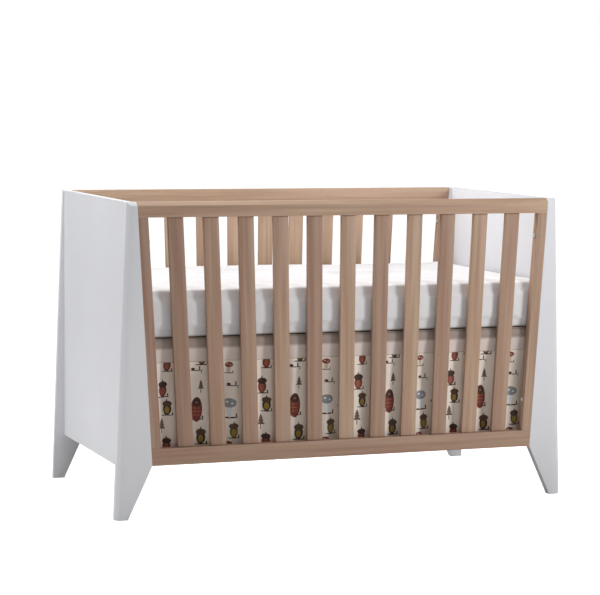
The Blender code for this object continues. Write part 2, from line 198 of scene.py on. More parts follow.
def oak_finish(name, joints=None):
    """Oak along the board. Joints are the two heights where a slat enters its rails, and next to them
    painted shade darkens the slat.
    """
    material, tree, shader = start_finish(name, Roughness=0.52, IOR=1.45)
    board = add(tree, "Attribute", {"attribute_name": "grain"}).outputs["Vector"]
    tone = add(tree, "Attribute", {"attribute_name": "tone"}).outputs["Fac"]
    along = {}
    for part, width, length in (
        ("band", BAND_WIDTH, BAND_LENGTH),
        ("streak", STREAK_WIDTH, STREAK_LENGTH),
        ("pore", PORE_WIDTH, PORE_LENGTH),
    ):
        spread = add(tree, "VectorMath",
                     {"operation": "MULTIPLY", 1: (1 / width, 1 / width, 1 / length)}, {0: board})
        along[part] = add(tree, "TexNoise", {"Scale": 1.0, "Detail": 2.0, "Roughness": 0.5,
                                             "Distortion": 0.15}, {"Vector": spread.outputs[0]})
    band = add(tree, "SeparateColor", {}, {0: along["band"].outputs["Color"]})
    streak = along["streak"].outputs["Fac"]
    hue = add(tree, "MapRange", {"From Min": 0.36, "From Max": 0.64}, {"Value": band.outputs["Red"]})
    lighter = add(tree, "MapRange", {"From Min": -1.0, "From Max": 1.0, "To Min": 1.0, "To Max": 0.15},
                  {"Value": tone})
    rosiness = add(tree, "MixRGB", {"Fac": 0.45}, {"Color1": lighter.outputs[0], "Color2": hue.outputs[0]})
    tinted = add(tree, "MixRGB", {"Color1": paint(WASH_TAN), "Color2": paint(WASH_ROSE)},
                 {"Fac": rosiness.outputs[0]})
    depth = add(tree, "MapRange", {"From Min": 0.34, "From Max": 0.66}, {"Value": band.outputs["Green"]})
    shade = add(tree, "MixRGB", {"Color1": paint(WASH_DARK), "Color2": paint(WASH_LIGHT)},
                {"Fac": depth.outputs[0]})
    evened = add(tree, "MixRGB", {"Fac": 0.68}, {"Color1": shade.outputs[0], "Color2": tinted.outputs[0]})
    lift = add(tree, "MapRange", {"From Min": 0.32, "From Max": 0.68, "To Min": 0.94, "To Max": 1.05},
               {"Value": streak})
    streaked = add(tree, "VectorMath", {"operation": "SCALE"},
                   {0: evened.outputs[0], "Scale": lift.outputs[0]})
    pore = add(tree, "MapRange", {"From Min": 0.30, "From Max": 0.42, "To Min": 0.88, "To Max": 1.0},
               {"Value": along["pore"].outputs["Fac"]})
    pored = add(tree, "VectorMath", {"operation": "SCALE"},
                {0: streaked.outputs[0], "Scale": pore.outputs[0]})
    piece_lift = add(tree, "MapRange", {"From Min": -1.0, "From Max": 1.0, "To Min": 0.84, "To Max": 1.16,
                                          "clamp": False}, {"Value": tone})
    colour = add(tree, "VectorMath", {"operation": "SCALE"},
                 {0: pored.outputs[0], "Scale": piece_lift.outputs[0]}).outputs[0]
    # Painted shade: the slat darkens over its last few millimetres next to each rail.
    if joints:
        place = add(tree, "TexCoord").outputs["Object"]
        height = add(tree, "SeparateXYZ", {}, {0: place}).outputs["Z"]
        for joint, way in zip(joints, (1, -1)):
            rail_shade = add(tree, "MapRange", {"From Min": joint, "From Max": joint + way * JOINT_SHADE,
                                          "To Min": 0.55, "To Max": 1.0}, {"Value": height})
            colour = add(tree, "VectorMath", {"operation": "SCALE"},
                         {0: colour, "Scale": rail_shade.outputs[0]}).outputs[0]
    tree.links.new(colour, shader.inputs["Base Color"])
    matt = add(tree, "MapRange", {"From Min": 0.3, "From Max": 0.7, "To Min": 0.46, "To Max": 0.6},
               {"Value": streak})
    tree.links.new(matt.outputs[0], shader.inputs["Roughness"])
    relief = add(tree, "Bump", {"Strength": 0.25, "Distance": 0.15 * MM}, {"Height": pore.outputs[0]})
    tree.links.new(relief.outputs[0], shader.inputs["Normal"])
    return material


OAK = oak_finish("washed_oak_matt_lacquer")
RAIL_FACES = (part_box("bottom_rail_front")[1].z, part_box("top_rail_front")[0].z)
# The slats' oak carries painted shade next to the rails.
SLAT_OAK = oak_finish("washed_oak_shaded_at_rails", RAIL_FACES)
print("oak finish:", len(OAK.node_tree.nodes), "nodes")

# %% [markdown]
# ## White lacquer
# The leg boards and end panels are fibreboard sprayed with satin white lacquer. It gives the eye a
# clean cool white with a soft broad gleam, and, close up, the faint orange peel of sprayed paint.

# %% The lacquer finish: orange peel in the bump, a trace of unevenness in the gloss
LACQUER_WHITE = "#dedfe3"
LACQUER_GREY = "#d9d9dd"
PEEL_SIZE = 1.6 * MM


def lacquer_finish():
    material, tree, shader = start_finish("satin_white_lacquer", Roughness=0.5, IOR=1.5)
    place = add(tree, "TexCoord").outputs["Object"]
    peel = add(tree, "TexNoise", {"Scale": 1 / PEEL_SIZE, "Detail": 2.0}, {"Vector": place})
    cloud = add(tree, "TexNoise", {"Scale": 7.0, "Detail": 3.0}, {"Vector": place})
    shade = add(tree, "MixRGB", {"Color1": paint(LACQUER_WHITE), "Color2": paint(LACQUER_GREY)},
                {"Fac": cloud.outputs["Fac"]})
    tree.links.new(shade.outputs[0], shader.inputs["Base Color"])
    gloss = add(tree, "MapRange", {"To Min": 0.46, "To Max": 0.54}, {"Value": cloud.outputs["Fac"]})
    tree.links.new(gloss.outputs[0], shader.inputs["Roughness"])
    relief = add(tree, "Bump", {"Strength": 0.12, "Distance": 0.05 * MM}, {"Height": peel.outputs["Fac"]})
    tree.links.new(relief.outputs[0], shader.inputs["Normal"])
    return material


LACQUER = lacquer_finish()
print("lacquer finish:", len(LACQUER.node_tree.nodes), "nodes")

# %% [markdown]
# ## Easing the hard parts
# Real boards never have perfectly sharp edges: a sander and the lacquer round them by about a
# millimetre, and that edge catches the light. The CAD mesh is loose triangles, so each board is
# copied, its triangles are merged into whole faces, a Bevel modifier rounds the edges, and the copy
# stands in for the CAD node.

# %% Copy a CAD node, merge it, round its edges
MERGE_DISTANCE = 0.01 * MM
FLAT_ANGLE = math.radians(0.5)
SHARP_ANGLE = math.radians(28)
SMOOTH_ANGLE = math.radians(40)


def eased(node, edge, segments=2):
    """A copy of the CAD node with merged faces and rounded edges, which replaces it."""
    source = frame["nodes"][node]
    piece = bpy.data.objects.new(node + "_finished", source.data.copy())
    bpy.context.scene.collection.objects.link(piece)
    only(piece)
    bpy.ops.object.mode_set(mode="EDIT")
    bpy.ops.mesh.select_all(action="SELECT")
    bpy.ops.mesh.remove_doubles(threshold=MERGE_DISTANCE)
    bpy.ops.mesh.dissolve_limited(angle_limit=FLAT_ANGLE)
    bpy.ops.object.mode_set(mode="OBJECT")
    bevel = piece.modifiers.new("edge", "BEVEL")
    bevel.width = edge
    bevel.segments = segments
    bevel.limit_method = "ANGLE"
    bevel.angle_limit = SHARP_ANGLE
    apply_all(piece)
    bpy.ops.object.shade_smooth_by_angle(angle=SMOOTH_ANGLE)
    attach(piece, source["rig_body"])
    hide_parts(node)
    return piece


def wear(piece, finish):
    """Gives the piece one finish."""
    piece.data.materials.clear()
    piece.data.materials.append(finish)
    return piece


# %% White boards and panels
BOARD_EDGE = 1.0 * MM
white_nodes = [n for n in sorted(frame["nodes"]) if n.startswith(("leg_board", "end_panel"))]
for node in white_nodes:
    wear(eased(node, BOARD_EDGE), LACQUER)
print("white pieces:", len(white_nodes))


# %% Store where each point lies along its board, for the grain
GRAIN_SHIFTS = (0.377, 0.619, 1.273)
GRAIN_ROOM = (1.0, 1.0, 3.0)


def lay_grain(piece, along, number, tone):
    """Writes the grain coordinates: across, through and along the board, shifted by its number."""
    along = np.array(along, float) / np.linalg.norm(along)
    through = np.array((0.0, 1.0, 0.0))
    across = np.cross(through, along)
    shift = np.array([(number * step) % room for step, room in zip(GRAIN_SHIFTS, GRAIN_ROOM)])
    places = points_of(piece) @ np.array((across, through, along)).T + shift
    grain = piece.data.attributes.new("grain", "FLOAT_VECTOR", "POINT")
    grain.data.foreach_set("vector", places.astype(np.float32).ravel())
    shade = piece.data.attributes.new("tone", "FLOAT", "POINT")
    shade.data.foreach_set("value", np.full(len(places), tone, np.float32))


def lean_of(node):
    """The direction of a leaning slat or stile, from the middle of its foot to that of its top."""
    places = points_of(frame["nodes"][node])
    low = places[places[:, 2] < places[:, 2].min() + 1 * MM]
    high = places[places[:, 2] > places[:, 2].max() - 1 * MM]
    return high.mean(0) - low.mean(0)


# %% Oak rails, stiles and slats, each a little lighter or darker, as boards are, and the back ones paler with painted light
# A tone of 0 is the middle of the wash, and 1 is a sixth lighter. The back side's boards are made paler:
# painted light, for the brighter light that falls on the back.
SLAT_EDGE = 0.6 * MM
RAIL_EDGE = 0.9 * MM
SLAT_TONES = (-1.0, -0.2, -0.4, 0.05, -0.7, 0.45, -0.65, 0.4, -0.6, 0.4, -0.35)
# The back slats' higher tones are painted light.
SLAT_TONES_BACK_WITH_PAINTED_LIGHT = (1.4, 1.1, 1.6, 1.2, 1.5, 1.0, 1.5, 1.2, 1.6, 1.0, 1.3)
# The back rails and stiles have higher tones than the front ones: painted light.
FRAME_TONES_WITH_PAINTED_LIGHT = {
    "top_rail_front": 0.55, "top_rail_back": 1.4, "bottom_rail_front": -0.45, "bottom_rail_back": 0.3,
    "stile_front_left": -0.85, "stile_front_right": -0.1, "stile_back_left": 0.6, "stile_back_right": 0.5,
}
OAK_NAMES = ("top_rail", "bottom_rail", "stile", "slat")
oak_nodes = [n for n in sorted(frame["nodes"]) if n.startswith(OAK_NAMES)]
for number, node in enumerate(oak_nodes):
    piece = eased(node, SLAT_EDGE if node.startswith("slat") else RAIL_EDGE)
    if node.startswith("slat"):
        tone = (SLAT_TONES_BACK_WITH_PAINTED_LIGHT if "_back" in node else SLAT_TONES)[int(node[-2:]) - 1]
    else:
        tone = FRAME_TONES_WITH_PAINTED_LIGHT[node]
    lay_grain(piece, (1, 0, 0) if "rail" in node else lean_of(node), number, tone)
    wear(piece, SLAT_OAK if node.startswith("slat") else OAK)
print("oak pieces:", len(oak_nodes))

# %% [markdown]
# ## Steel
# The mattress support is a welded steel frame with a light grey powder coat, which has a fine
# pebbled skin. The bolts are zinc plated, a bright metal with faint turning marks.

# %% Powder coat and zinc
COAT_LIGHT, COAT_DARK = "#c3c4c6", "#b3b4b7"
ZINC_LIGHT, ZINC_DARK = "#eeeff0", "#dcdde0"
PEBBLE_SIZE = 0.9 * MM
TURNING_SIZE = 0.4 * MM
STEEL_EDGE = 0.4 * MM
BOLT_EDGE = 0.25 * MM


def coat_finish():
    material, tree, shader = start_finish("grey_powder_coat", Roughness=0.55)
    place = add(tree, "TexCoord").outputs["Object"]
    pebble = add(tree, "TexNoise", {"Scale": 1 / PEBBLE_SIZE, "Detail": 2.0}, {"Vector": place})
    shade = add(tree, "MixRGB", {"Color1": paint(COAT_LIGHT), "Color2": paint(COAT_DARK)},
                {"Fac": pebble.outputs["Fac"]})
    tree.links.new(shade.outputs[0], shader.inputs["Base Color"])
    relief = add(tree, "Bump", {"Strength": 0.3, "Distance": 0.08 * MM}, {"Height": pebble.outputs["Fac"]})
    tree.links.new(relief.outputs[0], shader.inputs["Normal"])
    return material


def zinc_finish():
    material, tree, shader = start_finish("zinc_plated_steel", Roughness=0.45, Metallic=0.8)
    place = add(tree, "TexCoord").outputs["Object"]
    turned = add(tree, "TexNoise", {"Scale": 1 / TURNING_SIZE, "Detail": 3.0}, {"Vector": place})
    shade = add(tree, "MixRGB", {"Color1": paint(ZINC_LIGHT), "Color2": paint(ZINC_DARK)},
                {"Fac": turned.outputs["Fac"]})
    tree.links.new(shade.outputs[0], shader.inputs["Base Color"])
    gloss = add(tree, "MapRange", {"To Min": 0.38, "To Max": 0.52}, {"Value": turned.outputs["Fac"]})
    tree.links.new(gloss.outputs[0], shader.inputs["Roughness"])
    return material


POWDER_COAT = coat_finish()
ZINC = zinc_finish()
steel_nodes = [n for n in sorted(frame["nodes"]) if n.startswith(("mattress_support", "support_bracket"))]
bolt_nodes = [n for n in sorted(frame["nodes"]) if "_bolt_" in n]
for node in steel_nodes:
    wear(eased(node, STEEL_EDGE, 1), POWDER_COAT)
for node in bolt_nodes:
    wear(eased(node, BOLT_EDGE, 1), ZINC)
print("steel pieces:", len(steel_nodes), "bolts:", len(bolt_nodes))

# %% [markdown]
# ## The mattress in its fitted sheet
# A firm foam mattress under a white cotton sheet: nearly a box, with rounded corners, a slight crown, and
# the sheet's soft creases. A shaped box, blown up a little by Blender's Cloth, gives the crown and the
# slack between the edges. The creases are added afterwards, because the remesh that the cloth needs would
# lose them.

# %% A box with rounded corners and edges, a little inside the CAD solid
mattress_low, mattress_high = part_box("mattress")
SHRINK = 2.5 * MM
CORNER_RADIUS = 30 * MM
TOP_EDGE_RADIUS = 8 * MM
BOTTOM_EDGE_RADIUS = 10 * MM
CORNER_SEGMENTS = 8
EDGE_SEGMENTS = 4


def select_edges(piece, wanted):
    """Selects just the edges whose two ends pass the test."""
    mesh = piece.data
    bpy.ops.object.mode_set(mode="EDIT")
    bpy.ops.mesh.select_mode(type="EDGE")
    bpy.ops.mesh.select_all(action="DESELECT")
    bpy.ops.object.mode_set(mode="OBJECT")
    for edge in mesh.edges:
        edge.select = wanted(*[mesh.vertices[i].co for i in edge.vertices])
    bpy.ops.object.mode_set(mode="EDIT")


def mattress_body():
    """A box with 30 mm corners, a crisp top edge and a softer bottom edge."""
    size = mattress_high - mattress_low - Vector((2 * SHRINK, 2 * SHRINK, 0))
    middle = (mattress_high + mattress_low) / 2
    bpy.ops.object.select_all(action="DESELECT")
    bpy.ops.mesh.primitive_cube_add(size=1, location=middle)
    piece = bpy.context.object
    piece.name = "mattress_in_fitted_sheet"
    piece.scale = size
    bpy.ops.object.transform_apply(location=True, rotation=True, scale=True)
    top = middle.z + size.z / 2 - 1 * MM
    bottom = middle.z - size.z / 2 + 1 * MM
    select_edges(piece, lambda a, b: abs(a.z - b.z) > 50 * MM)
    bpy.ops.mesh.bevel(offset=CORNER_RADIUS, segments=CORNER_SEGMENTS, affect="EDGES")
    bpy.ops.object.mode_set(mode="OBJECT")
    select_edges(piece, lambda a, b: min(a.z, b.z) > top)
    bpy.ops.mesh.bevel(offset=TOP_EDGE_RADIUS, segments=EDGE_SEGMENTS, affect="EDGES")
    bpy.ops.object.mode_set(mode="OBJECT")
    select_edges(piece, lambda a, b: max(a.z, b.z) < bottom)
    bpy.ops.mesh.bevel(offset=BOTTOM_EDGE_RADIUS, segments=EDGE_SEGMENTS, affect="EDGES")
    bpy.ops.object.mode_set(mode="OBJECT")
    return piece


mattress = mattress_body()
print("mattress body:", len(mattress.data.polygons), "faces", [round(c, 3) for c in mattress.dimensions])

# %% Remesh it evenly, and let the cloth swell a little
MATTRESS_VOXEL = 7 * MM
MATTRESS_SWELL = 4.0 * MM
PRESSURE = 4.0
SWELL_FRAMES = 14


def swell(piece, voxel, cap, pressure, frames):
    """Blows the piece up with Cloth, and lets no point move further than the cap."""
    only(piece)
    piece.data.remesh_voxel_size = voxel
    bpy.ops.object.voxel_remesh()
    before = points_of(piece)
    cloth = piece.modifiers.new("cloth", "CLOTH")
    cloth.settings.quality = 4
    cloth.settings.mass = 0.25
    cloth.settings.use_pressure = True
    cloth.settings.uniform_pressure_force = pressure
    cloth.settings.effector_weights.gravity = 0.0
    cloth.settings.tension_stiffness = 20
    cloth.settings.bending_stiffness = 2
    cloth.collision_settings.use_collision = False
    cloth.point_cache.frame_start = 1
    cloth.point_cache.frame_end = frames
    for step in range(1, frames + 1):
        bpy.context.scene.frame_set(step)
    apply_all(piece)
    bpy.context.scene.frame_set(1)
    moved = points_of(piece) - before
    length = np.linalg.norm(moved, axis=1, keepdims=True)
    share = np.minimum(1, cap / np.maximum(length, 1e-9))
    move_points(piece, before + moved * share)
    print(piece.name, "swelled by up to", round(float(length.max()) / MM, 1), "mm, capped")


swell(mattress, MATTRESS_VOXEL, MATTRESS_SWELL, PRESSURE, SWELL_FRAMES)
finer = mattress.modifiers.new("finer", "SUBSURF")
finer.levels = 1
finer.render_levels = 1
apply_all(mattress)
print("mattress:", len(mattress.data.polygons), "faces")


# %% Soft creases: long ones along the back, small ones that spread from the corners
def crease(x, y, start, end, width, height, bow=0.0):
    """The height of one soft fold that runs from start to end, at the points x, y."""
    start, end = np.array(start), np.array(end)
    line = end - start
    length = np.linalg.norm(line)
    line = line / length
    side = np.array((-line[1], line[0]))
    along = ((x - start[0]) * line[0] + (y - start[1]) * line[1]) / length
    off = (x - start[0]) * side[0] + (y - start[1]) * side[1] - bow * 4 * along * (1 - along)
    fade = np.clip(along * 4, 0, 1) * np.clip((1 - along) * 4, 0, 1)
    return height * fade * np.exp(-(off / width) ** 2)


TOP_LOFT = 5 * MM
CREASE_SEED = 11
LONG_CREASES = 16
CREASE_WIDTHS = (6.5, 11)
CREASE_HEIGHTS = (3.0, 6.5)
CORNER = (0.638, 0.328)
CORNER_CREASES = 4
CORNER_WIDTH, CORNER_HEIGHT = 5 * MM, 1.2 * MM
TOP_ZONE, TOP_BLEND = 25 * MM, 15 * MM
SIDE_ZONE, SIDE_BLEND = 0.32, 0.015
SIDE_WAVE = 0.8 * MM


def add_creases(piece):
    """Folds the top of the sheet, lofts it towards the back, and dents the long sides."""
    rng = random.Random(CREASE_SEED)
    places = points_of(piece)
    x, y, z = places.T
    rise = np.zeros(len(places))
    for _ in range(LONG_CREASES):
        x0 = rng.uniform(-0.62, 0.15)
        y0 = rng.uniform(-0.05, 0.30)
        reach = rng.uniform(0.25, 0.60)
        fall = rng.uniform(-0.10, 0.02)
        width = rng.uniform(*CREASE_WIDTHS) * MM
        height = rng.uniform(*CREASE_HEIGHTS) * MM
        rise += crease(x, y, (x0, y0), (x0 + reach, y0 + fall), width, height, rng.uniform(-0.02, 0.02))
    for sx in (-1, 1):
        for sy in (-1, 1):
            for _ in range(CORNER_CREASES):
                turn = math.radians(rng.uniform(15, 75))
                reach = rng.uniform(0.07, 0.15)
                start = (sx * CORNER[0], sy * CORNER[1])
                end = (start[0] - sx * reach * math.cos(turn), start[1] - sy * reach * math.sin(turn))
                rise += crease(x, y, start, end, CORNER_WIDTH, CORNER_HEIGHT)
    top = np.clip((z - (mattress_high.z - TOP_ZONE)) / TOP_BLEND, 0, 1)
    loft = TOP_LOFT * (0.4 + 0.6 * (y - mattress_low.y) / (mattress_high.y - mattress_low.y))
    places[:, 2] += (rise + loft) * top
    wave = SIDE_WAVE * np.sin(x * 31 + 1.7 * np.sin(z * 40)) * np.sin(z * 23 + 1)
    side = np.clip(1 - top * 2, 0, 1) * np.clip((np.abs(y) - SIDE_ZONE) / SIDE_BLEND, 0, 1)
    places[:, 1] -= np.sign(y) * np.abs(wave) * side
    places[:, 2] = np.maximum(places[:, 2], mattress_low.z + 0.1 * MM)
    move_points(piece, places)


add_creases(mattress)
only(mattress)
bpy.ops.object.shade_smooth()
print("mattress stands", round((points_of(mattress)[:, 2].max() - mattress_low.z) / MM, 1), "mm tall")

# %% [markdown]
# ## Cotton
# The sheet and the skirt are plain-woven cotton. A thread is about half a millimetre, which is too fine to
# show here, so the weave is drawn at about one millimetre in the bump. Cotton is matt, with a soft sheen
# where it turns away, and never quite one white all over. The deck under the mattress is the same weave in
# a brown grey, which is painted shade for the dark gap under the mattress.

# %% The sheet: white percale
THREAD = 1.1 * MM
SHEET_WHITE, SHEET_SHADE = "#e9e8e9", "#dfdee1"


def weave_height(tree, place):
    """Threads over and under each other: two waves, one each way."""
    threads = []
    for direction in ("X", "Y"):
        threads.append(add(tree, "TexWave", {"wave_type": "BANDS", "bands_direction": direction,
                                             "Scale": 1 / (20 * THREAD) * math.pi, "Distortion": 0.4,
                                             "Detail": 1.0}, {"Vector": place}).outputs["Fac"])
    return add(tree, "Math", {"operation": "MULTIPLY"}, {0: threads[0], 1: threads[1]}).outputs[0]


def sheet_finish(name, light, dark):
    """Plain cotton that drifts between two colours, with soft rumples and a weave."""
    material, tree, shader = start_finish(name, Roughness=0.85)
    shader.inputs["Sheen Weight"].default_value = 0.25
    shader.inputs["Sheen Roughness"].default_value = 0.5
    place = add(tree, "TexCoord").outputs["Object"]
    soft = add(tree, "TexNoise", {"Scale": 9.0, "Detail": 4.0}, {"Vector": place})
    shade = add(tree, "MixRGB", {"Color1": paint(light), "Color2": paint(dark)},
                {"Fac": soft.outputs["Fac"]})
    tree.links.new(shade.outputs[0], shader.inputs["Base Color"])
    rumple = add(tree, "TexNoise", {"Scale": 26.0, "Detail": 5.0}, {"Vector": place})
    broad = add(tree, "Bump", {"Strength": 0.25, "Distance": 3 * MM}, {"Height": rumple.outputs["Fac"]})
    fine = add(tree, "Bump", {"Strength": 0.25, "Distance": 0.2 * MM},
               {"Height": weave_height(tree, place), "Normal": broad.outputs[0]})
    tree.links.new(fine.outputs[0], shader.inputs["Normal"])
    return material


SHEET_COTTON = sheet_finish("white_percale_cotton", SHEET_WHITE, SHEET_SHADE)
wear(mattress, SHEET_COTTON)
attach(mattress, "mattress")
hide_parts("mattress")

# %% [markdown]
# ## The skirt
# A plain cotton deck lies between the support and the mattress, and four printed drops hang from
# its edges to a hem behind the bottom rails. Each drop is one continuous sheet with soft upright
# waves. It could be simulated hanging, but it hangs nearly flat, so waves laid over a fine grid
# give the same look and keep the cloth's width exact.

# %% Lay out one drop as a grid, and wave it
drop_low, drop_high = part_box("skirt_drop_front")
SKIRT_TOP = drop_high.z
SKIRT_HEM = drop_low.z
SKIRT_DROP = SKIRT_TOP - SKIRT_HEM
GRID = 4.5 * MM
TUCK = 3 * MM
PRINT_SHIFT = 2.06
FULL_TURN = 6.283
WAVES = ((0.093, 0.34), (0.061, 0.26), (0.157, 0.40), (0.037, 0.10))
FLAT_TOP, WAVE_GROWTH = 15 * MM, 0.11
TUCK_REACH = 14 * MM


def wave_at(along, down, seed, room):
    """How far the cloth stands inwards from its outer face, in metres."""
    rng = random.Random(seed)
    deep = np.clip((down - FLAT_TOP) / WAVE_GROWTH, 0, 1) ** 0.8 + 0.06
    total = np.zeros_like(along)
    for width, height in WAVES:
        turn = rng.uniform(0, FULL_TURN)
        drift = rng.uniform(-1.2, 1.2)
        total += height * (0.5 + 0.5 * np.sin(along / width * FULL_TURN + turn + drift * down * 5))
    tuck = TUCK * np.exp(-(down / TUCK_REACH) ** 2)
    return total * room * deep + tuck


def hang(name, width, room, seed):
    """A flat drop, width by SKIRT_DROP, as a fine grid in X and Z that waves in Y."""
    columns = round(width / GRID)
    rows = round(SKIRT_DROP / GRID)
    bpy.ops.object.select_all(action="DESELECT")
    bpy.ops.mesh.primitive_grid_add(x_subdivisions=columns, y_subdivisions=rows, size=1,
                                    location=(0, 0, 0), rotation=(math.pi / 2, 0, 0))
    piece = bpy.context.object
    piece.name = name
    piece.scale = (width, SKIRT_DROP, 1)
    bpy.ops.object.transform_apply(location=True, rotation=True, scale=True)
    places = points_of(piece)
    along = places[:, 0].copy()
    down = places[:, 2].max() - places[:, 2]
    places[:, 1] = wave_at(along, down, seed, room)
    places[:, 2] = SKIRT_TOP - down - 0.3 * MM
    move_points(piece, places)
    loops = np.zeros(len(piece.data.loops), int)
    piece.data.loops.foreach_get("vertex_index", loops)
    flat = np.stack((along + PRINT_SHIFT, SKIRT_DROP - down), 1)[loops]
    piece.data.uv_layers[0].name = "cloth"
    piece.data.uv_layers[0].data.foreach_set("uv", flat.astype(np.float32).ravel())
    return piece


# %% Place the four drops: outer face just inside the rails and the end panels
DROP_ROOM = 22 * MM
DROP_GAP = 0.6 * MM
DROP_SEEDS = {"front": 3, "back": 5, "left": 8, "right": 9}
CLOTH = 0.9 * MM
drops = {}
for side, seed in DROP_SEEDS.items():
    low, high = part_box("skirt_drop_" + side)
    wide = (high.x - low.x) if side in ("front", "back") else (high.y - low.y)
    drop = hang("skirt_drop_" + side + "_cloth", wide, DROP_ROOM, seed)
    outer = {"front": low.y, "back": -high.y, "left": low.x, "right": -high.x}[side]
    places = points_of(drop)
    places[:, 1] += outer + DROP_GAP
    spin = {"front": 0, "back": math.pi, "left": -math.pi / 2, "right": math.pi / 2}[side]
    turned = np.array(Matrix.Rotation(spin, 3, "Z"))
    move_points(drop, places @ turned.T)
    thick = drop.modifiers.new("cloth_thickness", "SOLIDIFY")
    thick.thickness = CLOTH
    thick.offset = 0
    apply_all(drop)
    bpy.ops.object.shade_smooth()
    drops[side] = drop
    print(drop.name, [round(c, 3) for c in drop.dimensions])

# %% [markdown]
# ## The print
# The skirt is cream cotton with a scattered woodland print in rust, olive, mustard and brown: acorns, fir
# cones, toadstools, fir trees and twigs. Each motif is a few ellipses and wedges drawn by nodes in the
# cloth's own flat coordinates, so the print bends with every fold. A plain white band and a header tape run
# along the top, above the seam. Painted shade from the mattress above greys the band a little and darkens
# the header, with a soft lower edge.

# %% Two shapes the whole print is drawn with
REPEAT = (0.306, 0.236)
RUST = "#7d3b2f"
OLIVE = "#655f33"
MUSTARD = "#9c8235"
BARK = "#43302a"
FIR = "#6d5d52"
SLATE = "#8c9195"
CREAM = "#f0e5d9"
RUST_LIGHT = "#9a5845"
BARK_LIGHT = "#5a4434"
SLATE_LIGHT = "#dcdfe1"
STEM = "#c9b8a4"


def ellipse(tree, place, centre, radii):
    """1 inside an ellipse, 0 outside. Sizes are in metres."""
    off = add(tree, "VectorMath", {"operation": "SUBTRACT", 1: (centre[0], centre[1], 0)}, {0: place})
    unit = add(tree, "VectorMath", {"operation": "DIVIDE", 1: (radii[0], radii[1], 1)},
               {0: off.outputs[0]})
    far = add(tree, "VectorMath", {"operation": "LENGTH"}, {0: unit.outputs[0]})
    return add(tree, "Math", {"operation": "LESS_THAN", 1: 1.0}, {0: far.outputs["Value"]}).outputs[0]


def wedge(tree, place, peak, foot, half):
    """1 inside a triangle with its point at peak, its base at the height foot, and that half width."""
    off = add(tree, "VectorMath", {"operation": "SUBTRACT", 1: (peak[0], foot, 0)}, {0: place})
    split = add(tree, "SeparateXYZ", {}, {0: off.outputs[0]})
    out = add(tree, "Math", {"operation": "ABSOLUTE"}, {0: split.outputs["X"]})
    lean = add(tree, "Math", {"operation": "MULTIPLY_ADD", 1: (peak[1] - foot) / half},
               {0: out.outputs[0], 2: split.outputs["Y"]})
    below = add(tree, "Math", {"operation": "LESS_THAN", 1: peak[1] - foot}, {0: lean.outputs[0]})
    above = add(tree, "Math", {"operation": "GREATER_THAN", 1: 0.0}, {0: split.outputs["Y"]})
    both = {0: below.outputs[0], 1: above.outputs[0]}
    return add(tree, "Math", {"operation": "MULTIPLY"}, both).outputs[0]


# %% The motifs: lists of shapes in millimetres, from the middle of each motif
def stand(k):
    """The twig that a motif stands on."""
    return [
        ("ellipse", (0, -20 * k), (16 * k, 1.5 * k), BARK),
        ("ellipse", (13 * k, -16 * k), (1.5 * k, 4 * k), BARK),
    ]


def acorn(nut, light, cup, tall):
    """An acorn with a lighter middle, its cup and stalk on top."""
    k = tall / 40
    return stand(k) + [
        ("ellipse", (0, -4 * k), (10.5 * k, 15.5 * k), nut),
        ("ellipse", (0, -7 * k), (6 * k, 9 * k), light),
        ("ellipse", (0, 9 * k), (12 * k, 7.5 * k), cup),
        ("ellipse", (0, 17 * k), (1.5 * k, 4.5 * k), cup),
    ]


def cone(scale, light, tall):
    """A tall fir cone with two rows of lighter scales."""
    k = tall / 80
    body = [
        ("ellipse", (0, 2 * k), (16 * k, 35 * k), scale),
        ("ellipse", (0, 22 * k), (12 * k, 12 * k), BARK),
    ]
    rows = [("ellipse", (x * k, y * k), (4.2 * k, 3 * k), light) for x, y in
            ((-6, 6), (6, 6), (-7, -4), (0, -4), (7, -4), (-5, -14), (5, -14), (0, 22))]
    return stand(1.3 * k) + body + rows


def toadstool(cap, stem, tall):
    """A toadstool with two spots of the stem's colour on its cap."""
    k = tall / 40
    return stand(k) + [
        ("ellipse", (0, -7 * k), (5.5 * k, 13 * k), stem),
        ("ellipse", (0, 8 * k), (13 * k, 9 * k), cap),
        ("ellipse", (-4 * k, 10 * k), (2.6 * k, 2 * k), stem),
        ("ellipse", (5 * k, 7 * k), (2.2 * k, 1.8 * k), stem),
    ]


def fir(tall):
    """A fir tree of three tiers."""
    k = tall / 40
    tiers = [("wedge", (0, 20 * k), 8 * k, 5.5 * k, FIR), ("wedge", (0, 13 * k), 1 * k, 8 * k, FIR),
             ("wedge", (0, 6 * k), -7 * k, 10.5 * k, FIR)]
    return tiers + [("ellipse", (0, -13 * k), (1.2 * k, 7 * k), BARK)]


def twig():
    """A bare twig with a bud and a leaf."""
    return [
        ("ellipse", (0, 0), (19, 1.4), BARK),
        ("ellipse", (-11, 4.5), (5.5, 3.6), BARK),
        ("ellipse", (8, 6.5), (2.4, 7), OLIVE),
        ("ellipse", (15, -5), (1.3, 4), BARK),
    ]


